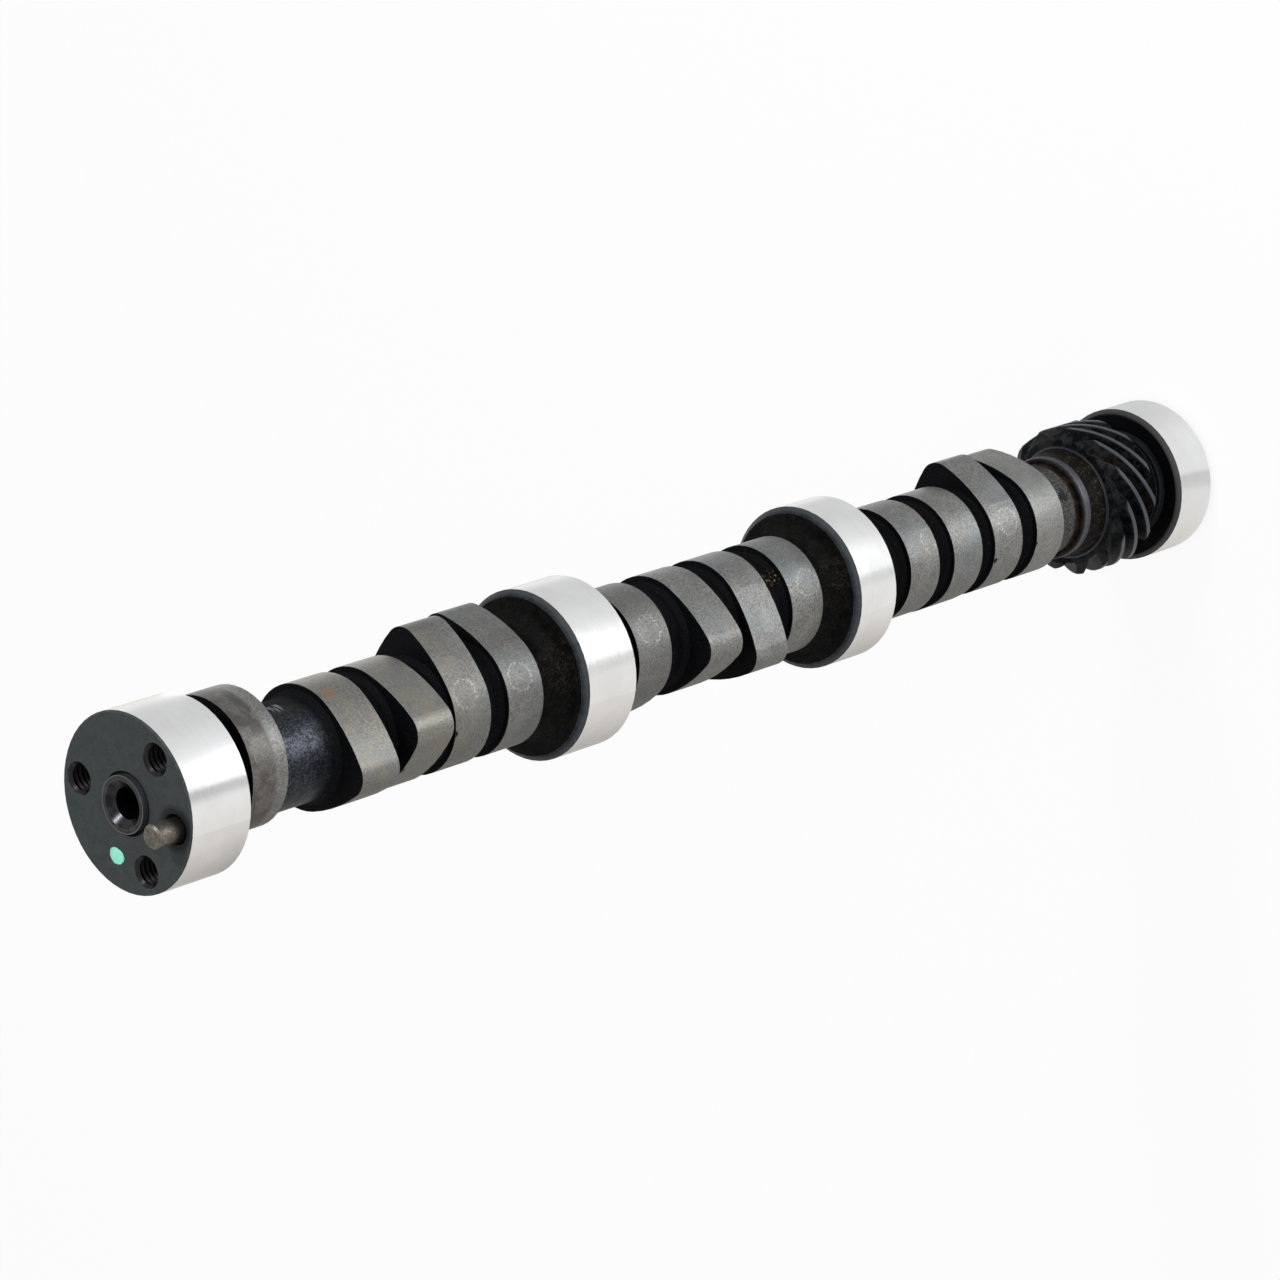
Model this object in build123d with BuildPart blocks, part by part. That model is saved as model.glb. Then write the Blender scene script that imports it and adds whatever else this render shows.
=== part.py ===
"""Camshaft of a 90 degree V6 with flat tappets, cast in one piece with its gear.

Frame: millimetres, +Z along the shaft towards the nose, origin at the centre of
the rear end face, +X towards the dowel pin. Stations are measured back from the
front face of the front journal. Angles are seen from the nose, anticlockwise.
"""
from build123d import *
from math import acos, atan2, cos, degrees, pi, radians, sin
import os

# ---- shaft -----------------------------------------------------------------
shaft_length = 426.9            # front face to rear face
core_diameter = 28.0            # as cast between the lobes
foot_height = 1.4               # the core swells where it meets a lobe or the eccentric
flank_fillet = 5.0              # where it meets a journal

# ---- journals ----------------------------------------------------------------
journal_diameter = 47.45
rear_journal_width = 18.0       # in from the rear end
rear_journal_front = shaft_length - rear_journal_width
# front station, rear station, front chamfer, rear chamfer
journals = {
    "front": (0.0, 20.5, 0.4, 0.8),
    "second": (141.5, 162.1, 1.6, 0.8),
    "third": (254.8, 272.5, 1.6, 0.8),
    "rear": (rear_journal_front, shaft_length, 1.3, 1.6),
}

# ---- valve lobes: base circle, two flank arcs and a nose arc -----------------------
base_diameter = 33.9
lobe_lift = 6.2
nose_radius = 6.2
flank_radius = 45.0
lobe_width = 13.1
first_lobe_phase = -3.5         # nose of the first lobe, from the dowel pin
lobe_separation = 109.5         # exhaust nose to intake nose of one cylinder
bank_offset = 22.0              # even bank behind the odd bank
cylinder_step = 120.0           # from one cylinder of a bank to the next that fires
# station of the middle, intake lobe, even bank, cylinder steps behind the first
lobes = [
    (65.9, False, False, 0),
    (85.7, False, True, 0),
    (105.6, True, False, 0),
    (125.6, True, True, 0),
    (176.7, False, True, 2),
    (199.0, True, True, 2),
    (219.6, True, False, 2),
    (240.7, False, False, 2),
    (293.5, True, False, 1),
    (313.6, True, True, 1),
    (332.8, False, False, 1),
    (353.0, False, True, 1),
]

# ---- fuel pump eccentric ---------------------------------------------------------
eccentric_diameter = 37.4
eccentric_throw = 3.0
eccentric_phase = 138.0
eccentric_front = 27.1
eccentric_width = 12.1

# ---- helical gear in front of the rear journal ---------------------------------------
tooth_count = 13
gear_diameter = 45.8
gear_lead = 83.0                # length of one turn of a right-hand tooth
gear_width = 17.0
rear_neck_length = 10.5         # from the gear to the rear journal
rear_neck_height = 1.7          # of the neck over the core
rear_dish = 2.0                 # the rear journal's flank sinks towards the neck
gear_phase = 26.0               # middle of a tooth at the gear's front face
tooth_depth = 4.0
tip_land = 2.2                  # width of a tooth at its tip, across the shaft
gap_floor = 3.4                 # width of a gap at its floor, across the shaft
gap_fillet = 1.0
front_bevel = (3.4, 2.6)        # across the shaft, along it
rear_bevel = (0.8, 0.8)
hub_diameter = 34.0             # at the gear, tapering down to the collar
hub_length = 10.1               # from the gear to the front of the collar
collar_height = 1.7             # of the collar over the core
collar_width = 3.4
collar_round = 1.2

# ---- nose: pilot boss, bolt circle and dowel -------------------------------------------
boss_diameter = 15.2
boss_height = 1.4
boss_groove_width = 0.8
boss_groove_depth = 0.8
centre_bore_diameter = 8.4
centre_bore_depth = 16.0
centre_mouth = (2.1, 1.6)       # across the shaft, along it
bolt_circle_diameter = 35.4
bolt_count = 3
bolt_phase = 60.0
bolt_hole_diameter = 7.94       # outer diameter of the thread
bolt_hole_depth = 17.0
bolt_mouth = 0.35               # how far a bolt hole widens at the face
pin_circle_diameter = 35.8      # runs a little outside the bolt circle
pin_diameter = 6.35
pin_length = 20.0
pin_reach = 8.0                 # how far the dowel stands out of the front face
pin_chamfer = 0.5
pin_fit = 0.005                 # all round the dowel in its hole
pin_mouth = 0.9                 # how far its hole widens at the face

# ---- rear centre hole ----------------------------------------------------------------------
rear_centre_diameter = 5.0
rear_centre_depth = 12.0
rear_mouth = 2.5
rear_mouth_angle = 60.0

# ---- worked out from the sizes above ---------------------------------------------------
core_radius = core_diameter / 2
journal_radius = journal_diameter / 2
base_radius = base_diameter / 2
eccentric_radius = eccentric_diameter / 2
gear_radius = gear_diameter / 2
gear_rear = rear_journal_front - rear_neck_length
gear_front = gear_rear - gear_width
root_radius = gear_radius - tooth_depth
hub_radius = hub_diameter / 2
collar_radius = core_radius + collar_height
collar_front = gear_front - hub_length
rear_neck_radius = core_radius + rear_neck_height
centre_bore_radius = centre_bore_diameter / 2
bolt_circle_radius = bolt_circle_diameter / 2
bolt_hole_radius = bolt_hole_diameter / 2
pin_circle_radius = pin_circle_diameter / 2
pin_radius = pin_diameter / 2
pin_hole_radius = pin_radius + pin_fit
pin_depth = pin_length - pin_reach
rear_centre_radius = rear_centre_diameter / 2
overrun = 1.0                   # how far a cutter runs past what it cuts


def height(station):
    """Z of a station."""
    return shaft_length - station


def lobe_phase(intake, even_bank, steps):
    """Angle of a lobe's nose from the dowel pin."""
    phase = first_lobe_phase + steps * cylinder_step
    if intake:
        phase += lobe_separation
    if even_bank:
        phase += bank_offset
    return phase


# ---- lobe outline, nose along +X -------------------------------------------------------
# Each flank arc touches the base circle from outside and the nose arc from outside,
# so its centre lies flank_offset from the shaft and nose_to_flank from the nose centre.
nose_offset = base_radius + lobe_lift - nose_radius
flank_offset = flank_radius - base_radius
nose_to_flank = flank_radius - nose_radius
flank_direction = acos(
    (flank_offset**2 + nose_offset**2 - nose_to_flank**2) / (2 * flank_offset * nose_offset)
)
flank_x = flank_offset * cos(flank_direction)
flank_y = flank_offset * sin(flank_direction)
flank_start = 180 - degrees(flank_direction)
flank_end = degrees(acos((nose_offset - flank_x) / nose_to_flank))

with BuildSketch() as lobe_outline:
    with BuildLine():
        CenterArc((0, 0), base_radius, flank_start, 360 - 2 * flank_start)
        CenterArc((flank_x, -flank_y), flank_radius, flank_end, flank_start - flank_end)
        CenterArc((nose_offset, 0), nose_radius, -flank_end, 2 * flank_end)
        CenterArc((flank_x, flank_y), flank_radius, -flank_start, flank_start - flank_end)
    make_face()

# ---- one gap between two teeth, across the shaft, middle along +X ------------------------
cutter_radius = gear_radius + overrun
cutter_length = gear_width + 2 * overrun
gap_mouth = 2 * pi * gear_radius / tooth_count - tip_land
cutter_mouth = gap_floor + (gap_mouth - gap_floor) * (cutter_radius - root_radius) / tooth_depth

with BuildSketch() as gap_outline:
    with BuildLine():
        Polyline(
            (root_radius, -gap_floor / 2),
            (cutter_radius, -cutter_mouth / 2),
            (cutter_radius, cutter_mouth / 2),
            (root_radius, gap_floor / 2),
            close=True,
        )
    make_face()
    fillet(gap_outline.vertices().group_by(Axis.X)[0], gap_fillet)

with BuildPart() as tooth_gap:
    add(
        Solid.extrude_linear_with_rotation(
            section=gap_outline.face(),
            center=(0, 0, 0),
            normal=(0, 0, cutter_length),
            angle=360 * cutter_length / gear_lead,
        )
    )

# ---- sides of the lobes and of the eccentric: station, -1 forward or 1 back, least radius ----
eccentric_low = eccentric_radius - eccentric_throw
feet = [(eccentric_front, -1, eccentric_low), (eccentric_front + eccentric_width, 1, eccentric_low)]
for station, _, _, _ in lobes:
    feet += [(station + side * lobe_width / 2, side, base_radius) for side in (-1, 1)]

# ---- the casting, turned, ground and drilled ----------------------------------------------
with BuildPart() as camshaft:
    # turned outline: radius along the sketch's X, height along its Y
    with BuildSketch(Plane.XZ) as turned:
        with BuildLine():
            Polyline(
                (0, 0),
                (core_radius, 0),
                (core_radius, shaft_length),
                (0, shaft_length),
                close=True,
            )
        make_face()
        for front, rear, front_chamfer, rear_chamfer in journals.values():
            with BuildLine():
                Polyline(
                    (0, height(rear)),
                    (journal_radius - rear_chamfer, height(rear)),
                    (journal_radius, height(rear - rear_chamfer)),
                    (journal_radius, height(front + front_chamfer)),
                    (journal_radius - front_chamfer, height(front)),
                    (0, height(front)),
                    close=True,
                )
            make_face()
        flanks = [height(station) for journal in journals.values() for station in journal[:2]]
        corners = [
            corner
            for corner in turned.vertices()
            if abs(corner.X - core_radius) < 1e-6 and min(abs(corner.Y - z) for z in flanks) < 1e-6
        ]
        flank_wall = journal_radius - core_radius - max(max(journal[2:]) for journal in journals.values())
        fillet(corners, min(flank_fillet, 0.9 * flank_wall))

        # the rear journal's flank sinks to the neck behind the gear
        rear_flank = height(rear_journal_front)
        rim_radius = journal_radius - journals["rear"][2]
        with BuildLine():
            Polyline(
                (rear_neck_radius, rear_flank - rear_dish),
                (rim_radius, rear_flank),
                (rim_radius, rear_flank + overrun),
                (0, rear_flank + overrun),
                (0, rear_flank - rear_dish),
                close=True,
            )
        make_face(mode=Mode.SUBTRACT)

        # collar, hub, gear blank and rear neck
        with BuildLine():
            Polyline(
                (0, height(collar_front)),
                (collar_radius, height(collar_front)),
                (collar_radius, height(collar_front + collar_width)),
                (hub_radius, height(gear_front)),
                (gear_radius - front_bevel[0], height(gear_front)),
                (gear_radius, height(gear_front + front_bevel[1])),
                (gear_radius, height(gear_rear - rear_bevel[1])),
                (gear_radius - rear_bevel[0], height(gear_rear)),
                (rear_neck_radius, height(gear_rear)),
                (rear_neck_radius, rear_flank - rear_dish),
                (0, rear_flank - rear_dish),
                close=True,
            )
        make_face()
        collar_corners = [
            corner
            for corner in turned.vertices()
            if abs(corner.X - collar_radius) < 1e-6 and corner.Y > height(gear_front)
        ]
        fillet(collar_corners, min(collar_round, 0.9 * collar_height, 0.45 * collar_width))

        # the core swells a little at the foot of every lobe and of the eccentric
        for station, side, low_radius in feet:
            foot = min(foot_height, (low_radius - core_radius) / 2)
            with BuildLine():
                Polyline(
                    (0, height(station)),
                    (core_radius + foot, height(station)),
                    (core_radius, height(station + side * foot)),
                    (0, height(station + side * foot)),
                    close=True,
                )
            make_face()
    revolve(axis=Axis.Z)

    for station, intake, even_bank, steps in lobes:
        lobe_plane = Plane.XY.offset(height(station + lobe_width / 2))
        with BuildSketch(lobe_plane.rotated((0, 0, lobe_phase(intake, even_bank, steps)))):
            add(lobe_outline.sketch)
        extrude(amount=lobe_width)

    eccentric_plane = Plane.XY.offset(height(eccentric_front + eccentric_width))
    with BuildSketch(eccentric_plane.rotated((0, 0, eccentric_phase))):
        with Locations((eccentric_throw, 0)):
            Circle(eccentric_radius)
    extrude(amount=eccentric_width)

    # a gap turns with the lead, so its phase at the gear's front fixes it at the rear
    gap_phase = gear_phase + 180 / tooth_count - 360 * (gear_width + overrun) / gear_lead
    with Locations((0, 0, height(gear_rear + overrun))):
        with PolarLocations(0, tooth_count, start_angle=gap_phase):
            add(tooth_gap.part, mode=Mode.SUBTRACT)

    # pilot boss in its groove, with the mouth of the centre bore
    front_face = Plane.XY.offset(height(0))
    with BuildSketch(front_face):
        Circle(boss_diameter / 2 + boss_groove_width)
        Circle(boss_diameter / 2, mode=Mode.SUBTRACT)
    extrude(amount=-boss_groove_depth, mode=Mode.SUBTRACT)
    with BuildSketch(front_face):
        Circle(boss_diameter / 2)
    extrude(amount=boss_height)
    with Locations(front_face.offset(boss_height)):
        CounterSinkHole(
            centre_bore_radius,
            centre_bore_radius + centre_mouth[0],
            depth=centre_bore_depth,
            counter_sink_angle=2 * degrees(atan2(*centre_mouth)),
        )

    # bolt holes and the dowel's hole
    with Locations(front_face):
        with PolarLocations(bolt_circle_radius, bolt_count, start_angle=bolt_phase):
            CounterSinkHole(bolt_hole_radius, bolt_hole_radius + bolt_mouth, depth=bolt_hole_depth)
        with Locations((pin_circle_radius, 0)):
            CounterSinkHole(pin_hole_radius, pin_hole_radius + pin_mouth, depth=pin_depth)

    # centre hole in the rear face
    with Locations(Plane.XY.rotated((180, 0, 0))):
        CounterSinkHole(
            rear_centre_radius,
            rear_centre_radius + rear_mouth,
            depth=rear_centre_depth,
            counter_sink_angle=rear_mouth_angle,
        )

# ---- dowel pin that drives the timing gear ----------------------------------------------
with BuildPart() as dowel_pin:
    with BuildSketch(Plane.XY.offset(height(pin_depth))):
        with Locations((pin_circle_radius, 0)):
            Circle(pin_radius)
    extrude(amount=pin_length)
    chamfer(dowel_pin.edges().filter_by(GeomType.CIRCLE), pin_chamfer)

# ---- write the pieces ----------------------------------------------------------------------
os.makedirs("parts", exist_ok=True)
for name, piece in {"camshaft": camshaft, "dowel_pin": dowel_pin}.items():
    piece.part.label = name
    export_step(piece.part, f"parts/{name}.step")
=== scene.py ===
"""Looks of the camshaft: materials, threads, paint mark, camera and studio."""
from math import cos, pi, radians, sin
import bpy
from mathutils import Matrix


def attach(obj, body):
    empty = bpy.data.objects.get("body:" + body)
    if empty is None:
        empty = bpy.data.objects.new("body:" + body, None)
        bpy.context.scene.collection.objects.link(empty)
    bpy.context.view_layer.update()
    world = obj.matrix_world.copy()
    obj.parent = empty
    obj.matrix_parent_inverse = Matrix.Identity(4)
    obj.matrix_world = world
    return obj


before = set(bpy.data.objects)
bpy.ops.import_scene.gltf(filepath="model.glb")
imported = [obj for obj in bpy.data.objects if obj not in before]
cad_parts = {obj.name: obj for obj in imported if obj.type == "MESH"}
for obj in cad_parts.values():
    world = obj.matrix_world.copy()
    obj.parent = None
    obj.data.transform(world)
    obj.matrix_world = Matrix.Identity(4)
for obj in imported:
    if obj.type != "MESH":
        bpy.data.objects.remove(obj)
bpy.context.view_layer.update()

from types import SimpleNamespace

import bpy
from mathutils import Matrix, Vector

# ---- places on the part ----------------------------------------------------
# In millimetres. A station is the distance behind the front face, a radius the distance from the axis.
MM = 0.001
LENGTH = 426.9                  # front face of the front journal, above the floor
BOLT_CIRCLE = 35.4              # diameter of the circle on which the bolt holes lie
BOLT_ANGLES = (60.0, 180.0, 300.0)
PIN_CIRCLE = 35.8

# spans: first station, last station, softness of both ends
REAR_CORE = (360.0, 369.6, 0.8)
GROOVE = (369.2, 371.6, 0.7)
COLLAR = (371.6, 374.6, 0.3)
HUB = (374.8, 381.3, 0.3)
GEAR = (381.3, 399.2, 0.1)
BROWN_SPANS = ((131.0, 143.2, 0.3), (244.0, 256.4, 0.3))
RIM_SPANS = ((137.0, 166.0, 1.0), (251.0, 277.0, 1.0), (401.0, 412.0, 1.0))
TANNED_LOBES = (48.0, 107.0, 8.0)
# thin lines painted light as edge highlights: at the front of the gear, and in front of journal 4
GEAR_EDGE_HIGHLIGHT = ((380.8, 381.5, 0.1), (16.6, 17.35, 0.1))       # stations, then radii
NECK_EDGE_HIGHLIGHT = ((409.6, 411.4, 0.2), (15.6, 16.9, 0.2))

# edges: a station or radius, and its softness
GROUND_RADIUS = (23.45, 0.05)   # only the journals reach past it
LOBE_RADIUS = (15.6, 0.1)
GEAR_RADIUS = (16.9, 0.1)
RIM_RADIUS = (21.9, 0.1)
CORE_START = (38.9, 0.3)
REAR_FACE = (426.4, 0.2)
REAR_RIM = (400.0, 5.0)
WORN_RADIUS = (15.7, 0.1)
BOSS_RIM = (7.38, 0.08)

# fades: where a change begins and where it is complete
SIDE_SLOPE = (0.2, 0.4)         # how far the surface faces along the axis
FRONT_FACE = (0.5, 0.9)
BOSS = (-0.1, -0.02)
FRONT_END = (18.5, 19.5)
ECCENTRIC_END = (34.0, 36.0)
CORE_END = (52.0, 59.0)
LOBES_END = (364.0, 366.0)
GEAR_WEAR = (379.0, 381.0)      # from here back the edges are less worn
TOOTH_TIPS = (22.4, 22.95)
BORE_WALL = (6.35, 6.45)
BOLT_HOLE_WALL = (4.35, 4.45)   # from the hole's own axis
PIN_HOLE_WALL = (4.0, 4.2)
# painted shadow on the front face round the pin
PAINTED_PIN_SHADOW = (4.2, 7.0)
# painted shade deeper in the centre bore and bolt holes
BORE_DEPTH = (1.5, 7.0)
LOBE_SMOOTHNESS = (74.0, 106.0)
COLLAR_CREST = (15.50, 15.70)
# painted shadow and painted highlight on the journals' rims
RIM_SHADOW = (21.8, 22.6)
RIM_SHINE = (22.2, 23.2)
BOSS_INNER_RIM = (6.42, 6.55)
# painted shade on the pin near the front face
PAINTED_PIN_SHADE = (1.0, 4.5)          # heights above the front face
# painted shade on the threads deeper in their holes
PAINTED_THREAD_SHADE = (2.0, 6.0)
LEAD_IN_END = (1.4, 1.7)
DAB_EDGE = (2.0, 2.7)           # from the middle of the paint mark

# across the shaft, from its lower to its upper edge in the photo
# painted shade along the cores' upper edge; the front core is also rougher and less metallic there
PAINTED_CORE_SHADE = (11.0, 15.0)
# painted shade along the front core's upper edge, and a painted highlight across its middle
PAINTED_SLATE_SHADE = (5.0, 14.0)
PAINTED_CORE_HIGHLIGHT = (-7.0, 3.0, 3.5)
# painted sheen on the specks of the journals' sides
PAINTED_FLANK_SHEEN = (-14.0, 3.0, 6.0)

PIN_END = (6.0, 1.0)            # height above the front face, and softness
CASTING_WEAR = 0.35             # width of worn edges
PIN_WEAR = 0.3

# marks: middle as x, y and height above the floor, and size
GLINTS = ((8.9, 11.3, 194.6), 2.6)
SCRATCHES = ((0.4, 13.9, 378.4), 2.5)
BLOTCH = ((11.0, 9.5, 61.5), 3.0)
STAIN = ((4.6, 16.4, 364.0), 2.4)
NICKS = (                       # small chips on lobe edges
    ((17.2, -4.6, 347.8), 1.3), ((16.9, 0.1, 327.9), 1.1), ((16.7, -4.0, 213.9), 1.0),
    ((16.9, -1.3, 99.9), 1.0), ((16.6, -0.1, 80.5), 0.9), ((12.2, 11.8, 335.6), 0.7),
)
LOOPS = (                       # middles of the faint loops worn into the lobes
    (14.1, 9.3, 322.6), (14.2, 9.3, 301.9), (13.4, 10.4, 250.4), (13.9, 9.6, 184.3),
    (13.6, 10.1, 128.5), (14.3, 9.0, 93.0),
)
LOOP_LINE = (4.6, 5.3, 0.4)     # inner and outer radius of a loop, and softness
LOBE_SHADES = (                 # first and last station, how much, what colour
    (77.0, 95.0, 0.10, (176, 177, 172)), (97.0, 114.0, 0.20, (92, 92, 90)),
    (117.0, 134.0, 0.18, (92, 92, 90)), (168.0, 185.0, 0.32, (92, 92, 91)),
    (344.0, 361.0, 0.15, (176, 176, 172)),
)

# the cut thread of a bolt hole; its foot and the lead-in lie just behind the hole's wall
THREAD_PITCH = 1.411
THREAD_TURNS = 10
THREAD_STEPS = 40               # to a turn
THREAD_START = 1.7              # station of its first turn
THREAD_FOOT = 4.0
THREAD_CREST = 3.36
FOOT_HALF_WIDTH = 0.62
CREST_HALF_WIDTH = 0.09
THREAD_FADE = 30                # steps in which the ridge grows from the wall
LEAD_IN = ((4.02, 0.33), (3.44, 0.92), (3.44, 1.04), (4.02, 1.62))      # radius and station

# the paint mark: its middle on the front face, and its size
DAB = (-2.1, -15.2)
DAB_HALF_WIDTH = 2.70
DAB_HALF_HEIGHT = 2.18
DAB_THICKNESS = 0.09
DAB_SUNK = 0.004                # of its outline, below the front face
DAB_SPOKES = 56
DAB_RINGS = 6
DAB_WAVES = ((0.035, 3, 0.6), (0.020, 7, 2.0), (0.012, 13, 0.0))        # height, count and phase

# ---- shapes and masks in general -------------------------------------------
SHARP_ANGLE = 30.0              # degrees, above which an edge isn't shaded smooth
RAGGEDNESS = 1.6                # of the spots' outlines
SEED_STEP = (7.3, 3.1, 5.7)     # how far each seed moves its noise
WORN_ALIGNMENT = (0.90, 0.985)  # of the rounded and the true normal: worn, whole

# ---- studio, in metres ------------------------------------------------------
FLOOR_HALF_WIDTH = 6.0
FLOOR_SEEN = 0.88               # share of plain white in the floor that the camera sees
WARM_WHITE = (1.0, 0.966, 0.92, 1.0)
COOL_WHITE = (0.985, 0.995, 1.0, 1.0)
WHITE = (1.0, 1.0, 1.0, 1.0)
PALE = (0.93, 0.93, 0.93, 1.0)
WORLD_LIGHT = 0.65
WORLD_SEEN = 1.0

# how far from the axis the reflections in the lobes reach the floor's painted reflection: nearest,
# farthest, softness
NEAR_LOBES = ((0.080, 0.135, 0.010), (0.200, 0.258, 0.010))
FAR_LOBES = (0.345, 0.500, 0.010)
FAR_CARD = (0.345, 0.460, 0.010)
FAR_BEHIND = ((0.345, 0.435, 0.008), (0.474, 0.500, 0.006))
BRIGHTEST_CARD = (0.400, 0.462, 0.008)
LAST_LOBES = (0.472, 0.500, 0.006)

LAMPS = (                       # name, place, target, size, power
    ("key", (1.05, 0.9, 0.55), (0, 0, 0.2), (0.8, 0.8), 7),
    ("top", (-0.2, 0.70, 1.30), (0, 0, 0.40), (0.2, 0.2), 5),
)

SENSOR_WIDTH = 36.0
FOCAL_LENGTH = 130.44
CLIP_START = 0.05
CLIP_END = 20.0
CAMERA_PLACE = (0.7579, 0.4891, 1.1455)
CAMERA_RIGHT = (0.73334, 0.10889, -0.67109)
CAMERA_UP = (-0.33394, 0.91750, -0.21605)

scene = bpy.context.scene
scene.view_settings.view_transform = "Standard"


# ---- nodes -----------------------------------------------------------------
def colour(r, g, b):
    """Linear colour from sRGB numbers out of 255."""
    def linear(c):
        c /= 255
        return c / 12.92 if c <= 0.04045 else ((c + 0.055) / 1.055) ** 2.4
    return (linear(r), linear(g), linear(b), 1.0)


class Tree:
    """Adds nodes to a material or a world, and links what it is given."""

    def __init__(self, owner):
        owner.use_nodes = True
        self.nodes = owner.node_tree.nodes
        self.links = owner.node_tree.links
        self.nodes.clear()

    def node(self, kind, inputs=None, out=0, **settings):
        """Adds a node with its settings and inputs, and returns one of its outputs."""
        made = self.nodes.new(kind)
        for name, value in settings.items():
            setattr(made, name, value)
        for key, value in (inputs or {}).items():
            self.put(made.inputs[key], value)
        return made.outputs[out] if len(made.outputs) else None

    def put(self, socket, value):
        if isinstance(value, bpy.types.NodeSocket):
            self.links.new(value, socket)
        else:
            socket.default_value = value

    def math(self, operation, a, b=0.0):
        return self.node("ShaderNodeMath", {0: a, 1: b}, operation=operation)

    def scaled(self, value, factor):
        return self.math("MULTIPLY", value, factor)

    def vector_math(self, operation, a, b, out=0):
        return self.node("ShaderNodeVectorMath", {0: a, 1: b}, out=out, operation=operation)

    def distance(self, a, b):
        return self.vector_math("DISTANCE", a, b, out="Value")

    def parts_of(self, vector):
        split = self.nodes.new("ShaderNodeSeparateXYZ")
        self.links.new(vector, split.inputs[0])
        return split.outputs

    # masks, from 0 to 1
    def remap(self, value, low, high, to_low, to_high):
        return self.node(
            "ShaderNodeMapRange",
            {"Value": value, "From Min": low, "From Max": high, "To Min": to_low, "To Max": to_high},
            interpolation_type="SMOOTHSTEP",
        )

    def rise(self, value, low, high):
        """0 up to low, 1 from high."""
        return self.remap(value, low, high, 0.0, 1.0)

    def fall(self, value, low, high):
        """1 up to low, 0 from high."""
        return self.remap(value, low, high, 1.0, 0.0)

    def above(self, value, edge, soft):
        """0 below the edge, 1 above it."""
        return self.rise(value, edge - soft, edge + soft)

    def below(self, value, edge, soft):
        """1 below the edge, 0 above it."""
        return self.fall(value, edge - soft, edge + soft)

    def band(self, value, low, high, soft):
        """1 between low and high."""
        return self.math("MULTIPLY", self.above(value, low, soft), self.below(value, high, soft))

    def both(self, *masks):
        result = masks[0]
        for mask in masks[1:]:
            result = self.math("MULTIPLY", result, mask)
        return result

    def either(self, *masks):
        result = masks[0]
        for mask in masks[1:]:
            result = self.math("MAXIMUM", result, mask)
        return result

    def inverse(self, mask):
        return self.math("SUBTRACT", 1.0, mask)

    def spot(self, position, centre, size, wobble, soft=0.5):
        """1 within a ragged blot round a point."""
        ragged = self.scaled(self.math("SUBTRACT", wobble, 0.5), size * RAGGEDNESS)
        away = self.math("ADD", self.distance(position, centre), ragged)
        return self.fall(away, size * (1 - soft), size)

    def worn_edges(self, width):
        """1 on the outer edges, from how far a rounded normal leaves the true one."""
        rounded = self.node("ShaderNodeBevel", {"Radius": width * MM}, samples=4)
        straight = self.node("ShaderNodeNewGeometry", out="Normal")
        along = self.vector_math("DOT_PRODUCT", rounded, straight, out="Value")
        return self.fall(along, *WORN_ALIGNMENT)

    # colours and values; the mix node's sockets go by number, since their names repeat
    def mix(self, mask, a, b):
        """Colour a where the mask is 0, b where it is 1."""
        return self.node("ShaderNodeMix", {0: mask, 6: a, 7: b}, out=2, data_type="RGBA", clamp_factor=True)

    def mix_value(self, mask, a, b):
        """Value a where the mask is 0, b where it is 1."""
        return self.node("ShaderNodeMix", {0: mask, 2: a, 3: b}, data_type="FLOAT", clamp_factor=True)

    def between(self, value, low, high, dark, light):
        """From the dark to the light sRGB colour, as the value goes from low to high."""
        return self.mix(self.rise(value, low, high), colour(*dark), colour(*light))

    def over(self, mask, below, tone):
        """An sRGB colour laid over what is below it."""
        return self.mix(mask, below, colour(*tone))

    # places and noises
    def stretched(self, vector, factors):
        return self.vector_math("MULTIPLY", vector, factors)

    def millimetres(self):
        """Place on the part in millimetres."""
        return self.stretched(self.node("ShaderNodeTexCoord", out="Object"), (1 / MM, 1 / MM, 1 / MM))

    def reach(self, x, y):
        return self.math("SQRT", self.math("ADD", self.math("MULTIPLY", x, x), self.math("MULTIPLY", y, y)))

    def reach_from(self, x, y, centre=(0.0, 0.0)):
        """Distance from a line parallel to the axis."""
        return self.reach(self.math("SUBTRACT", x, centre[0]), self.math("SUBTRACT", y, centre[1]))

    def noise(self, where, scale, detail=3.0, roughness=0.55, seed=0.0):
        moved = self.vector_math("ADD", where, tuple(seed * step for step in SEED_STEP))
        return self.node(
            "ShaderNodeTexNoise",
            {"Vector": moved, "Scale": scale, "Detail": detail, "Roughness": roughness},
        )

    def bump(self, strength, depth, height):
        """Relief, its depth in millimetres."""
        return self.node("ShaderNodeBump", {"Strength": strength, "Distance": depth * MM, "Height": height})

    def surface(self, **inputs):
        """Principled shader as the material's surface; an underscore in a name stands for a space."""
        named = {name.replace("_", " "): value for name, value in inputs.items()}
        shader = self.node("ShaderNodeBsdfPrincipled", named)
        self.node("ShaderNodeOutputMaterial", {"Surface": shader})


def around(angle, radius):
    return (radius * cos(radians(angle)), radius * sin(radians(angle)))


# ---- casting: where, and how uneven ----------------------------------------
def places_on_casting(t):
    """What tells one surface of the casting from another; across grows towards the photo's upper edge."""
    position = t.millimetres()
    x, y, z = t.parts_of(position)
    facing_end = t.math("ABSOLUTE", t.parts_of(t.node("ShaderNodeNewGeometry", out="True Normal"))[2])
    return SimpleNamespace(
        position=position,
        x=x,
        y=y,
        station=t.math("SUBTRACT", LENGTH, z),
        radius=t.reach_from(x, y),
        across=t.math("SUBTRACT", y, x),
        side=t.fall(facing_end, *SIDE_SLOPE),
    )


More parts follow.
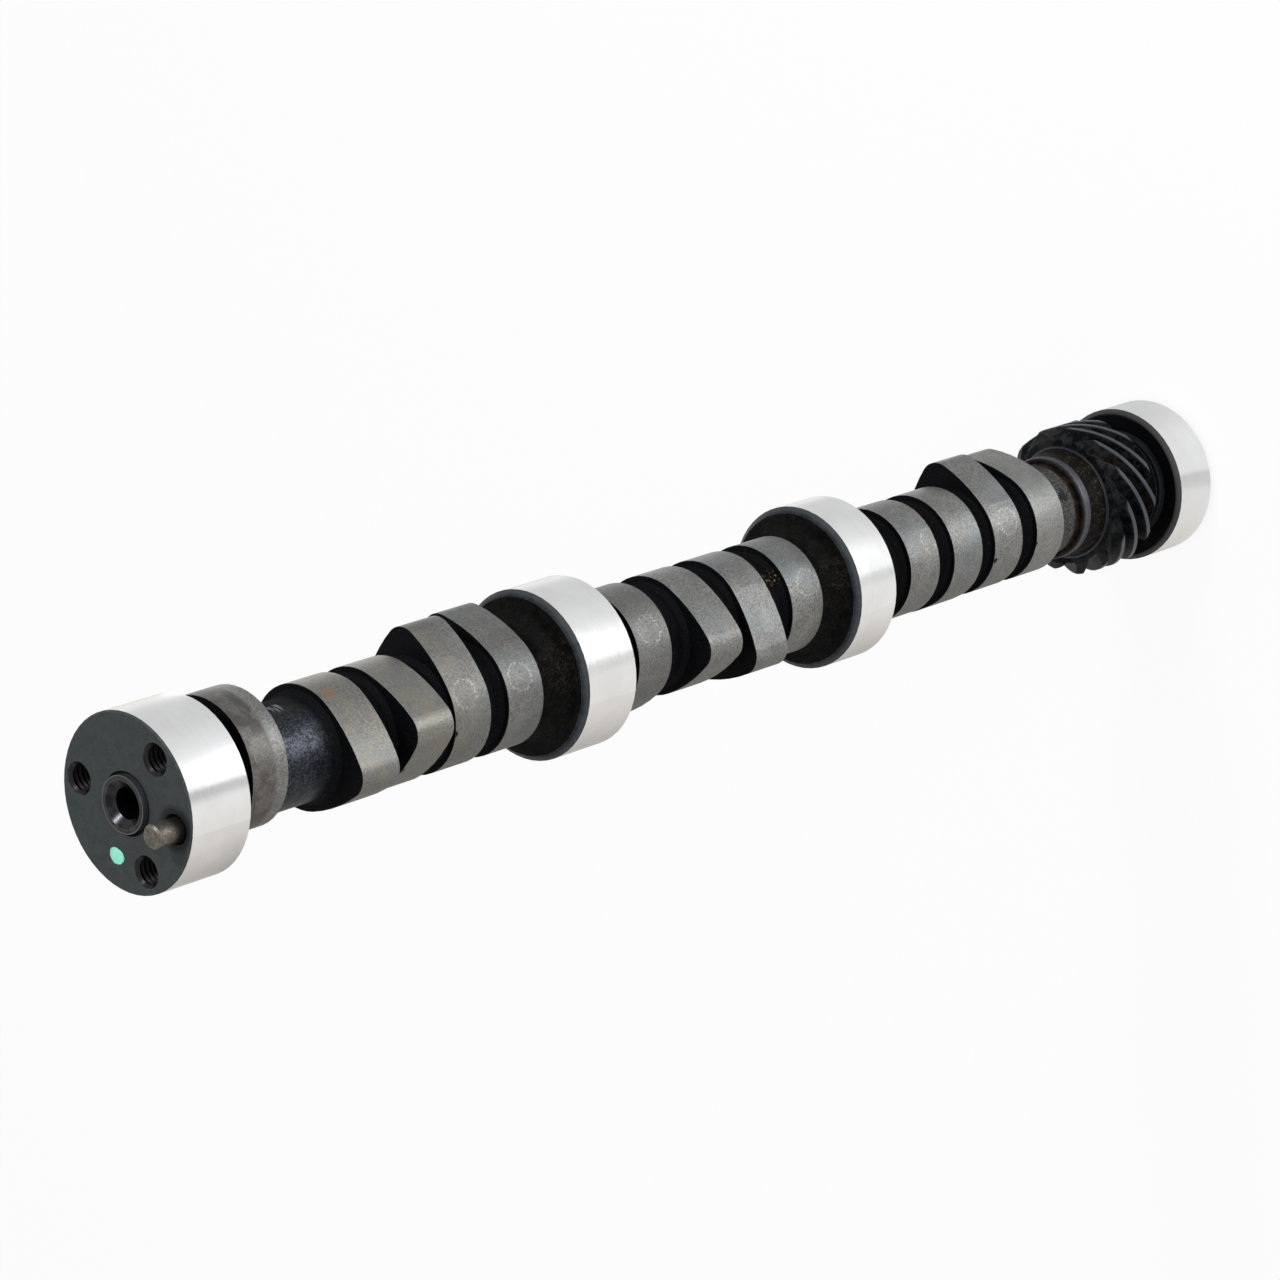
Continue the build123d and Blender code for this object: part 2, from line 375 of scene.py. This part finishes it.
def noises_on_casting(t, position):
    """From fine sparkle to broad clouds, and the fine lines left by grinding."""
    return SimpleNamespace(
        fine=t.noise(position, 3.4, 3.0, 0.65, 3),
        grit=t.noise(position, 1.7, 2.0, 0.6),
        medium=t.noise(position, 0.38, 3.0, 0.6, 1),
        mottle=t.noise(position, 0.17, 3.0, 0.6, 5),
        coarse=t.noise(position, 0.07, 3.0, 0.55, 2),
        lines=t.noise(t.stretched(position, (0.04, 0.04, 2.2)), 1.0, 3.0, 0.7, 4),
    )


def areas_of_casting(t, at):
    """A mask for each finish."""
    ground = t.both(at.side, t.above(at.radius, *GROUND_RADIUS))
    ahead_of_gear = t.fall(at.station, *LOBES_END)
    gear = t.both(t.band(at.station, *GEAR), t.above(at.radius, *GEAR_RADIUS))
    gear_edge_highlight, neck_edge_highlight = (
        t.both(t.band(at.station, *stations), t.band(at.radius, *radii))
        for stations, radii in (GEAR_EDGE_HIGHLIGHT, NECK_EDGE_HIGHLIGHT)
    )
    round_journals = t.either(*(t.band(at.station, *span) for span in RIM_SPANS))
    boss = t.fall(at.station, *BOSS)
    front_end = t.fall(at.station, *FRONT_END)
    holes = t.fall(at.radius, *BORE_WALL)
    for angle in BOLT_ANGLES:
        from_bolt = t.reach_from(at.x, at.y, around(angle, BOLT_CIRCLE / 2))
        holes = t.either(holes, t.fall(from_bolt, *BOLT_HOLE_WALL))
    from_pin = t.reach_from(at.x, at.y, (PIN_CIRCLE / 2, 0.0))
    return SimpleNamespace(
        ground=ground,
        lobes=t.both(at.side, t.above(at.radius, *LOBE_RADIUS), ahead_of_gear, t.inverse(ground)),
        face=t.either(t.fall(at.station, *FRONT_FACE), t.above(at.station, *REAR_FACE)),
        gear=gear,
        tips=t.both(gear, t.rise(at.radius, *TOOTH_TIPS)),
        boss=boss,
        boss_side=t.both(boss, at.side),
        front_core=t.both(t.above(at.station, *CORE_START), t.fall(at.station, *CORE_END)),
        rear_core=t.band(at.station, *REAR_CORE),
        groove=t.band(at.station, *GROOVE),
        collar=t.band(at.station, *COLLAR),
        hub=t.band(at.station, *HUB),
        painted_edge_highlights=t.either(gear_edge_highlight, t.scaled(neck_edge_highlight, 0.5)),
        flanks=t.either(*(t.band(at.station, *span) for span in BROWN_SPANS)),
        rims=t.both(t.above(at.radius, *RIM_RADIUS), t.inverse(at.side), round_journals),
        holes=t.both(holes, front_end),
        pin_hole=t.both(t.fall(from_pin, *PIN_HOLE_WALL), front_end),
        painted_pin_shadow=t.both(t.fall(from_pin, *PAINTED_PIN_SHADOW), front_end),
    )


# ---- casting: colours ------------------------------------------------------
def black_skin(t, at, noise):
    """Cast sides between the lobes, with a few worn grains and one spot of painted glints."""
    tone = t.between(noise.grit, 0.35, 0.7, (3, 4, 7), (12, 12, 14))
    tone = t.over(t.remap(noise.grit, 0.68, 0.76, 0.0, 0.45), tone, (70, 62, 52))
    # painted glints: pale grains as highlights in one spot
    glints = t.both(t.spot(at.position, *GLINTS, noise.medium), t.above(noise.grit, 0.62, 0.04))
    return t.over(t.scaled(glints, 0.8), tone, (150, 128, 86))


def slate_skin(t, at, noise):
    """Front core: blue grey, with a painted highlight where it faces the camera and painted shade along its
    upper edge.
    """
    rough_skin = t.math("ADD", t.scaled(noise.grit, 0.65), t.scaled(noise.medium, 0.35))
    tone = t.between(rough_skin, 0.36, 0.66, (28, 30, 34), (66, 70, 77))
    tone = t.over(t.remap(noise.grit, 0.60, 0.76, 0.0, 0.45), tone, (116, 122, 130))
    # a painted highlight where the core faces the camera, then painted shade along its upper edge
    painted_highlight = t.both(t.band(at.across, *PAINTED_CORE_HIGHLIGHT), t.remap(rough_skin, 0.42, 0.60, 0.15, 0.75))
    tone = t.over(painted_highlight, tone, (98, 103, 112))
    tone = t.over(t.remap(at.across, *PAINTED_SLATE_SHADE, 0.0, 0.85), tone, (17, 17, 18))
    strokes = t.noise(t.stretched(at.position, (0.15, 0.15, 0.8)), 1.0, 2.0, 0.6, 6)
    scratched = t.both(
        t.spot(at.position, *SCRATCHES, noise.grit), t.remap(strokes, 0.50, 0.58, 0.0, 0.65)
    )
    return t.over(scratched, tone, (138, 142, 148))


def speckled_skin(t, at, noise):
    """Rear core, with one dark blotch, and painted shade along its upper edge."""
    tone = t.between(noise.grit, 0.35, 0.65, (48, 47, 46), (94, 93, 92))
    # painted shade along the upper edge
    tone = t.over(t.remap(at.across, *PAINTED_CORE_SHADE, 0.0, 0.75), tone, (20, 20, 21))
    blotch = t.scaled(t.spot(at.position, *BLOTCH, noise.grit), 0.8)
    return t.over(blotch, tone, (26, 27, 29))


def brown_skin(t, at, noise):
    """Sides of journals 2 and 3: nearly black, with pale specks, brighter across their middle as a painted
    sheen.
    """
    tone = t.between(noise.medium, 0.35, 0.65, (3, 3, 4), (13, 12, 11))
    # the specks are grain; their band across the middle is a painted sheen
    specks = t.both(
        t.rise(noise.grit, 0.44, 0.70), t.remap(noise.medium, 0.38, 0.62, 0.3, 1.0),
        t.either(0.3, t.scaled(t.band(at.across, *PAINTED_FLANK_SHEEN), 0.95)),
    )
    return t.over(specks, tone, (50, 47, 43))


def bead_skin(t, at, noise):
    """Rounded collar in front of the gear, its crest painted lighter as a highlight."""
    tone = t.between(noise.grit, 0.3, 0.7, (40, 40, 42), (62, 61, 64))
    # painted highlight on the crest
    return t.over(t.remap(at.radius, *COLLAR_CREST, 0.0, 0.8), tone, (106, 105, 110))


def hub_skin(t, noise):
    """Oily hub of the gear, with pale specks."""
    tone = t.between(noise.medium, 0.4, 0.65, (8, 8, 8), (24, 21, 18))
    specks = t.both(
        t.remap(noise.grit, 0.54, 0.68, 0.0, 0.8), t.remap(noise.medium, 0.4, 0.6, 0.2, 1.0)
    )
    return t.over(specks, tone, (84, 73, 58))


def phosphate(t, at, noise):
    """Mid grey of the lobes, with olive, brown and cool clouds, a fine sparkle and wear."""
    tone = t.between(noise.grit, 0.3, 0.7, (104, 104, 102), (146, 146, 144))
    tone = t.over(t.remap(noise.medium, 0.45, 0.8, 0.0, 0.4), tone, (142, 131, 118))
    tone = t.over(t.remap(noise.coarse, 0.46, 0.70, 0.0, 0.5), tone, (114, 122, 124))
    tone = t.over(t.remap(noise.mottle, 0.50, 0.68, 0.0, 0.30), tone, (150, 153, 152))
    tone = t.over(t.remap(noise.mottle, 0.34, 0.50, 0.30, 0.0), tone, (108, 105, 100))
    tone = t.over(t.remap(noise.fine, 0.58, 0.70, 0.0, 0.6), tone, (190, 192, 191))
    tone = t.over(t.remap(noise.fine, 0.28, 0.41, 0.6, 0.0), tone, (76, 76, 74))
    eccentric = t.both(t.fall(at.station, *ECCENTRIC_END), t.remap(noise.mottle, 0.42, 0.60, 0.38, 0.82))
    tone = t.over(eccentric, tone, (82, 76, 71))
    for first, last, amount, shade in LOBE_SHADES:
        tone = t.over(t.scaled(t.band(at.station, first, last, 1.0), amount), tone, shade)
    tanned = t.both(t.band(at.station, *TANNED_LOBES), t.remap(noise.mottle, 0.44, 0.60, 0.10, 0.45))
    tone = t.over(tanned, tone, (135, 126, 110))
    stain = t.spot(at.position, *STAIN, noise.grit)
    tone = t.over(t.scaled(stain, 0.5), tone, (162, 112, 68))
    for centre in LOOPS:
        away = t.math("ADD", t.distance(at.position, centre), t.scaled(noise.medium, 2.0))
        loop = t.both(t.band(away, *LOOP_LINE), t.remap(noise.grit, 0.42, 0.62, 0.0, 0.5))
        tone = t.over(loop, tone, (188, 188, 184))
    for centre, size in NICKS:
        tone = t.over(t.spot(at.position, centre, size, noise.fine, 0.3), tone, (16, 15, 14))
    return tone


def turned_face(t, noise, painted_pin_shadow):
    """Front face, with a painted shadow round the pin."""
    grain = t.math("ADD", t.scaled(noise.fine, 0.6), t.scaled(noise.medium, 0.4))
    tone = t.between(grain, 0.35, 0.65, (55, 61, 63), (68, 73, 74))
    tone = t.over(t.remap(noise.coarse, 0.5, 0.7, 0.0, 0.35), tone, (62, 62, 59))
    # painted shadow round the pin
    return t.over(t.scaled(painted_pin_shadow, 0.8), tone, (20, 21, 22))


def slick_gear(t, noise):
    """Oily tooth flanks."""
    tone = t.between(noise.medium, 0.40, 0.62, (8, 10, 13), (33, 35, 37))
    tone = t.over(t.remap(noise.mottle, 0.52, 0.62, 0.0, 0.5), tone, (44, 40, 34))
    return t.over(t.remap(noise.grit, 0.68, 0.76, 0.0, 0.5), tone, (104, 100, 92))


def bevelled_rim(t, at, noise):
    """Outer rims of the journals' sides: painted shadow on their inner part, and brightest at the very edge
    as a painted highlight.
    """
    tone = t.between(noise.medium, 0.35, 0.65, (32, 35, 39), (48, 53, 57))
    tone = t.over(t.above(at.station, *REAR_RIM), tone, (44, 42, 38))
    tone = t.over(t.remap(at.radius, *RIM_SHADOW, 0.85, 0.0), tone, (14, 15, 16))
    return t.over(t.remap(at.radius, *RIM_SHINE, 0.0, 0.42), tone, (88, 91, 93))


def ground_steel(t, noise):
    """Journals."""
    tone = t.between(noise.coarse, 0.3, 0.7, (240, 239, 238), (248, 248, 248))
    return t.over(t.remap(noise.lines, 0.55, 0.75, 0.0, 0.25), tone, (226, 225, 224))


def bore_with_painted_shade(t, at, noise):
    """Centre bore and bolt holes, with painted shade deeper in."""
    tone = t.between(noise.medium, 0.35, 0.65, (42, 43, 47), (62, 62, 65))
    # painted shade with depth
    return t.over(t.remap(at.station, *BORE_DEPTH, 0.0, 0.9), tone, (17, 16, 17))


def boss_crown(t, at, noise):
    """Pilot boss, with two rims painted bright as highlights."""
    tone = t.between(noise.medium, 0.35, 0.65, (50, 51, 48), (63, 62, 58))
    # painted highlights on the boss's outer and inner rims
    rims = t.either(t.above(at.radius, *BOSS_RIM), t.remap(at.radius, *BOSS_INNER_RIM, 0.7, 0.0))
    return t.over(rims, tone, (104, 107, 104))


def finishes_of_casting(t, at, noise, area):
    """Where, colour, roughness, metallic and relief of each finish, later ones on top."""
    rust = t.between(noise.medium, 0.4, 0.62, (15, 12, 11), (46, 33, 26))
    core_roughness = t.remap(at.across, *PAINTED_CORE_SHADE, 0.31, 0.9)
    core_metal = t.remap(at.across, *PAINTED_CORE_SHADE, 0.85, 0.0)
    lobe_roughness = t.remap(at.station, *LOBE_SMOOTHNESS, 0.37, 0.45)
    return (
        (area.flanks, brown_skin(t, at, noise), 0.55, 0.0, 1.0),
        (area.front_core, slate_skin(t, at, noise), core_roughness, core_metal, 0.32),
        (area.rear_core, speckled_skin(t, at, noise), 0.50, 0.5, 0.9),
        (area.groove, rust, 0.55, 0.2, 0.9),
        (area.rims, bevelled_rim(t, at, noise), 0.42, 0.2, 0.2),
        (area.lobes, phosphate(t, at, noise), lobe_roughness, 0.92, 0.30),
        (area.collar, bead_skin(t, at, noise), 0.34, 0.9, 0.4),
        (area.hub, hub_skin(t, noise), 0.50, 0.3, 1.0),
        (area.gear, slick_gear(t, noise), 0.30, 0.2, 0.4),
        # painted edge highlights at the gear and in front of journal 4
        (area.painted_edge_highlights, colour(84, 87, 94), 0.35, 0.8, 0.2),
        # tooth tips painted lighter as a highlight
        (area.tips, colour(80, 85, 91), 0.34, 0.9, 0.1),
        (area.face, turned_face(t, noise, area.painted_pin_shadow), 0.50, 0.2, 0.15),
        (area.boss, boss_crown(t, at, noise), 0.42, 0.2, 0.15),
        # the boss's side wall, pale blue grey as a painted highlight
        (area.boss_side, colour(122, 125, 136), 0.30, 0.9, 0.05),
        (area.holes, bore_with_painted_shade(t, at, noise), 0.22, 0.95, 0.05),
        # the pin hole's chamfer, painted near black as shade
        (area.pin_hole, colour(16, 16, 17), 0.5, 0.0, 0.1),
    )


def casting_material():
    """Black skin with the finishes laid on it, worn edges, and the ground journals on top."""
    material = bpy.data.materials.new("camshaft_iron")
    t = Tree(material)
    at = places_on_casting(t)
    noise = noises_on_casting(t, at.position)
    area = areas_of_casting(t, at)

    base, roughness, metal, relief = black_skin(t, at, noise), 0.6, 0.0, 1.0
    for mask, tone, rough, metallic, bumps in finishes_of_casting(t, at, noise, area):
        base = t.mix(mask, base, tone)
        roughness = t.mix_value(mask, roughness, rough)
        metal = t.mix_value(mask, metal, metallic)
        relief = t.mix_value(mask, relief, bumps)

    edges = t.both(
        t.worn_edges(CASTING_WEAR), t.remap(noise.medium, 0.3, 0.6, 0.25, 1.0),
        t.above(at.radius, *WORN_RADIUS), t.remap(at.station, *GEAR_WEAR, 1.0, 0.3),
    )
    base = t.over(t.scaled(edges, 0.45), base, (120, 124, 130))
    metal = t.mix_value(t.scaled(edges, 0.5), metal, 0.8)

    base = t.mix(area.ground, base, ground_steel(t, noise))
    roughness = t.mix_value(area.ground, roughness, t.remap(noise.lines, 0.3, 0.7, 0.11, 0.17))
    metal = t.mix_value(area.ground, metal, 1.0)
    relief = t.mix_value(area.ground, relief, 0.02)
    cast_height = t.math("ADD", t.scaled(noise.grit, 0.6), t.scaled(noise.fine, 0.4))
    height = t.mix_value(area.ground, cast_height, noise.lines)
    t.surface(
        Base_Color=base, Roughness=roughness, Metallic=metal, Specular_IOR_Level=0.07,
        Normal=t.bump(relief, 0.25, height),
    )
    return material


# ---- other materials -------------------------------------------------------
def dowel_material():
    """Oily steel pin, with painted shade towards its hole, and a lighter end."""
    material = bpy.data.materials.new("dowel_steel")
    t = Tree(material)
    position = t.millimetres()
    grain = t.noise(position, 2.2, 3.0, 0.6)
    cloud = t.noise(position, 0.5, 3.0, 0.6, 1)
    height = t.math("SUBTRACT", t.parts_of(position)[2], LENGTH)
    tone = t.between(grain, 0.3, 0.7, (92, 88, 82), (140, 134, 124))
    tone = t.over(t.remap(cloud, 0.4, 0.7, 0.0, 0.6), tone, (70, 66, 62))
    # painted shade towards the hole
    tone = t.over(t.remap(height, *PAINTED_PIN_SHADE, 0.85, 0.0), tone, (20, 19, 18))
    tone = t.over(t.both(t.worn_edges(PIN_WEAR), t.above(height, *PIN_END)), tone, (142, 137, 129))
    t.surface(
        Base_Color=tone, Roughness=t.remap(cloud, 0.3, 0.7, 0.34, 0.5), Metallic=0.8,
        Normal=t.bump(0.25, 0.1, grain),
    )
    return material


def thread_material():
    """Dark oily iron, with painted shade deeper in the hole, lighter in the lead-in."""
    material = bpy.data.materials.new("thread_iron")
    t = Tree(material)
    position = t.millimetres()
    grain = t.noise(position, 2.0, 3.0, 0.6)
    depth = t.math("SUBTRACT", LENGTH, t.parts_of(position)[2])
    lead_in = t.fall(depth, *LEAD_IN_END)
    tone = t.between(grain, 0.35, 0.65, (8, 8, 9), (26, 25, 25))
    # painted shade with depth
    tone = t.over(t.remap(depth, *PAINTED_THREAD_SHADE, 0.0, 0.85), tone, (8, 8, 8))
    tone = t.over(lead_in, tone, (50, 48, 47))
    t.surface(
        Base_Color=tone, Roughness=t.mix_value(lead_in, 0.45, 0.26),
        Metallic=t.mix_value(lead_in, 0.4, 0.95), Specular_IOR_Level=0.2,
        Normal=t.bump(0.2, 0.08, grain),
    )
    return material


def paint_material():
    """Mint paint, a little duller at its edge."""
    material = bpy.data.materials.new("mint_paint")
    t = Tree(material)
    position = t.millimetres()
    cloud = t.noise(position, 0.9, 3.0, 0.6)
    grain = t.noise(position, 3.0, 3.0, 0.6, 2)
    tone = t.between(cloud, 0.3, 0.7, (130, 224, 196), (156, 240, 216))
    from_middle = t.distance(position, (*DAB, LENGTH))
    tone = t.over(t.remap(from_middle, *DAB_EDGE, 0.0, 0.45), tone, (84, 158, 140))
    t.surface(
        Base_Color=tone, Roughness=t.remap(grain, 0.3, 0.7, 0.32, 0.5), Metallic=0.0,
        Normal=t.bump(0.3, 0.06, cloud),
    )
    return material


def give(node, material):
    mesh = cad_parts[node].data
    mesh.materials.clear()
    mesh.materials.append(material)


give("camshaft", casting_material())
give("dowel_pin", dowel_material())


# ---- small pieces ----------------------------------------------------------
def piece(name, points, faces, material):
    """Adds a mesh piece that rides on the root, from points in millimetres."""
    mesh = bpy.data.meshes.new(name)
    mesh.from_pydata([(x * MM, y * MM, z * MM) for x, y, z in points], [], faces)
    mesh.polygons.foreach_set("use_smooth", [True] * len(mesh.polygons))
    mesh.set_sharp_from_angle(angle=radians(SHARP_ANGLE))
    mesh.materials.append(material)
    made = bpy.data.objects.new(name, mesh)
    scene.collection.objects.link(made)
    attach(made, "root")


def join(faces, a, b, count=4):
    """Adds a belt of faces between two outlines that begin at points a and b."""
    for j in range(count):
        n = (j + 1) % count
        faces.append((a + j, b + j, b + n, a + n))


def ridge(centre, points, faces):
    """The ridge of the thread, wound down the wall of its hole and tapered at both ends."""
    steps = THREAD_TURNS * THREAD_STEPS
    for k in range(steps + 1):
        angle = 2 * pi * k / THREAD_STEPS
        z = LENGTH - THREAD_START - THREAD_PITCH * k / THREAD_STEPS
        grown = min(1.0, k / THREAD_FADE, (steps - k) / THREAD_FADE)
        crest = THREAD_FOOT - (THREAD_FOOT - THREAD_CREST) * grown
        # the crest narrows with the ridge, but not at its very ends, which lie in the wall
        half_width = CREST_HALF_WIDTH * (max(grown, 0.1) if grown else 1.0)
        outline = (
            (THREAD_FOOT, FOOT_HALF_WIDTH), (crest, half_width), (crest, -half_width),
            (THREAD_FOOT, -FOOT_HALF_WIDTH),
        )
        for r, dz in outline:
            points.append((centre[0] + r * cos(angle), centre[1] + r * sin(angle), z + dz))
        if k:
            join(faces, 4 * (k - 1), 4 * k)
    last = 4 * steps
    faces.append((3, 2, 1, 0))
    faces.append((last, last + 1, last + 2, last + 3))


def lead_in_ring(centre, points, faces):
    """The countersunk lead-in above the thread."""
    first = len(points)
    for k in range(THREAD_STEPS):
        angle = 2 * pi * k / THREAD_STEPS
        for r, station in LEAD_IN:
            points.append((centre[0] + r * cos(angle), centre[1] + r * sin(angle), LENGTH - station))
        join(faces, first + 4 * k, first + 4 * ((k + 1) % THREAD_STEPS))


def thread(name, centre, material):
    points, faces = [], []
    ridge(centre, points, faces)
    lead_in_ring(centre, points, faces)
    piece(name, points, faces, material)


def dab(name, centre, material):
    """A thin dome of paint with an uneven edge, lying on the front face."""
    points, faces = [(centre[0], centre[1], LENGTH + DAB_THICKNESS)], []
    for ring in range(1, DAB_RINGS + 1):
        out = ring / DAB_RINGS
        sunk = DAB_SUNK if ring == DAB_RINGS else 0.0
        z = LENGTH + DAB_THICKNESS * (1 - out ** 4) - sunk
        for k in range(DAB_SPOKES):
            a = 2 * pi * k / DAB_SPOKES
            uneven = 1 + sum(height * sin(count * a + phase) for height, count, phase in DAB_WAVES)
            x = centre[0] + DAB_HALF_WIDTH * out * uneven * cos(a)
            y = centre[1] + DAB_HALF_HEIGHT * out * uneven * sin(a)
            points.append((x, y, z))
    for k in range(DAB_SPOKES):
        faces.append((0, 1 + k, 1 + (k + 1) % DAB_SPOKES))
    for ring in range(DAB_RINGS - 1):
        join(faces, 1 + ring * DAB_SPOKES, 1 + (ring + 1) * DAB_SPOKES, DAB_SPOKES)
    outline = 1 + (DAB_RINGS - 1) * DAB_SPOKES
    faces.append(tuple(outline + k for k in reversed(range(DAB_SPOKES))))
    piece(name, points, faces, material)


thread_iron = thread_material()
for number, angle in enumerate(BOLT_ANGLES, 1):
    thread(f"bolt_thread_{number}", around(angle, BOLT_CIRCLE / 2), thread_iron)
dab("paint_dab", DAB, paint_material())


# ---- studio ----------------------------------------------------------------
def painted_room_reflection(t, azimuth, reach):
    """What gloss sees in the floor, a glow painted there as a reflection: a pale room, dimmer on one side,
    with a bright card on the other.
    """
    def patch(low, low_soft, high, high_soft, near=0.0, near_soft=0.01):
        """1 between two azimuths, from a distance on."""
        return t.both(
            t.above(azimuth, low, low_soft), t.below(azimuth, high, high_soft),
            t.above(reach, near, near_soft),
        )

    near_lobes = t.either(*(t.band(reach, *span) for span in NEAR_LOBES))
    lobe_reach = t.either(near_lobes, t.band(reach, *FAR_LOBES))
    card_reach = t.either(near_lobes, t.band(reach, *FAR_CARD))
    behind_reach = t.either(near_lobes, *(t.band(reach, *span) for span in FAR_BEHIND))
    behind = t.either(t.rise(azimuth, 140.0, 175.0), t.fall(azimuth, -175.0, -150.0))

    light = t.remap(azimuth, -125.0, -5.0, 0.46, 0.84)
    for mask, strength in (
        # painted walls, and the floor close to the part
        (t.fall(azimuth, -180.0, -115.0), 0.44),
        (t.rise(azimuth, 60.0, 115.0), -0.15),
        (t.rise(azimuth, 150.0, 180.0), 0.21),
        (t.fall(reach, 0.04, 0.07), -0.04),
        # a painted darker stripe beside the painted card
        (patch(9.0, 6.0, 22.0, 2.0), -0.15),
        (patch(11.0, 6.0, 22.0, 2.0, 0.42, 0.04), -0.17),
        # the painted card, as the journals see it
        (patch(24.0, 2.0, 64.0, 17.0), 0.05),
        (patch(24.0, 2.0, 64.0, 17.0, 0.08, 0.04), 0.04),
        (patch(26.0, 3.0, 52.0, 12.0, 0.49, 0.02), 0.18),
        # the painted card, as the lobes see it: brighter by far, since their skin is darker
        (t.both(patch(22.0, 13.0, 60.0, 12.0), card_reach), 3.3),
        (t.both(patch(32.0, 8.0, 58.0, 10.0), t.band(reach, *BRIGHTEST_CARD)), 2.0),
        # the painted room, as the lobes see it
        (t.both(patch(-150.0, 20.0, -40.0, 25.0), lobe_reach), -0.15),
        (t.both(patch(95.0, 20.0, 145.0, 15.0), lobe_reach), -0.10),
        (t.both(behind, behind_reach), 0.7),
        (t.both(patch(-150.0, 20.0, -55.0, 15.0), t.band(reach, *LAST_LOBES)), -0.07),
    ):
        light = t.math("ADD", light, t.scaled(mask, strength))
    return light


def floor_material():
    """Pale floor, with a painted reflection that glows for glossy rays only."""
    material = bpy.data.materials.new("floor_pale")
    material.cycles.emission_sampling = "NONE"
    t = Tree(material)
    x, y, _ = t.parts_of(t.node("ShaderNodeTexCoord", out="Object"))
    reach = t.reach(x, y)
    azimuth = t.scaled(t.math("ARCTAN2", y, x), 180 / pi)
    # painted reflection in the floor
    room = painted_room_reflection(t, azimuth, reach)
    # painted reflection tint: warm on one side, cool on the other
    tint = t.mix(t.rise(azimuth, -60.0, 30.0), WARM_WHITE, COOL_WHITE)
    diffuse = t.node("ShaderNodeBsdfDiffuse", {"Color": PALE})
    plain = t.node("ShaderNodeEmission", {"Color": WHITE, "Strength": 1.0})
    glossy = t.node("ShaderNodeEmission", {"Color": tint, "Strength": room})
    path = t.nodes.new("ShaderNodeLightPath")
    seen = t.scaled(path.outputs["Is Camera Ray"], FLOOR_SEEN)
    surface = t.node("ShaderNodeMixShader", {0: seen, 1: diffuse, 2: plain})
    surface = t.node("ShaderNodeMixShader", {0: path.outputs["Is Glossy Ray"], 1: surface, 2: glossy})
    t.node("ShaderNodeOutputMaterial", {"Surface": surface})
    return material


def add_floor():
    mesh = bpy.data.meshes.new("floor")
    w = FLOOR_HALF_WIDTH
    mesh.from_pydata([(-w, -w, 0), (w, -w, 0), (w, w, 0), (-w, w, 0)], [], [(0, 1, 2, 3)])
    mesh.materials.append(floor_material())
    floor = bpy.data.objects.new("floor", mesh)
    scene.collection.objects.link(floor)


def add_world():
    """White all round, brighter to the camera than as a light."""
    scene.world = bpy.data.worlds.new("studio")
    t = Tree(scene.world)
    path = t.nodes.new("ShaderNodeLightPath")
    strength = t.mix_value(path.outputs["Is Camera Ray"], WORLD_LIGHT, WORLD_SEEN)
    background = t.node("ShaderNodeBackground", {"Color": WHITE, "Strength": strength})
    t.node("ShaderNodeOutputWorld", {"Surface": background})


def add_lamp(name, place, target, size, power):
    data = bpy.data.lights.new(name, "AREA")
    data.shape = "RECTANGLE"
    data.size, data.size_y = size
    data.energy = power
    light = bpy.data.objects.new(name, data)
    scene.collection.objects.link(light)
    light.location = place
    light.rotation_mode = "QUATERNION"
    light.rotation_quaternion = (Vector(target) - Vector(place)).to_track_quat("-Z", "Y")
    light.visible_camera = False


def add_camera():
    data = bpy.data.cameras.new("camera")
    data.sensor_width = SENSOR_WIDTH
    data.lens = FOCAL_LENGTH
    data.clip_start = CLIP_START
    data.clip_end = CLIP_END
    camera = bpy.data.objects.new("camera", data)
    scene.collection.objects.link(camera)
    right = Vector(CAMERA_RIGHT).normalized()
    up = Vector(CAMERA_UP)
    up = (up - right * up.dot(right)).normalized()
    turn = Matrix((right, up, right.cross(up))).transposed().to_4x4()
    camera.matrix_world = Matrix.Translation(CAMERA_PLACE) @ turn
    scene.camera = camera


add_floor()
add_world()
for lamp in LAMPS:
    add_lamp(*lamp)
add_camera()
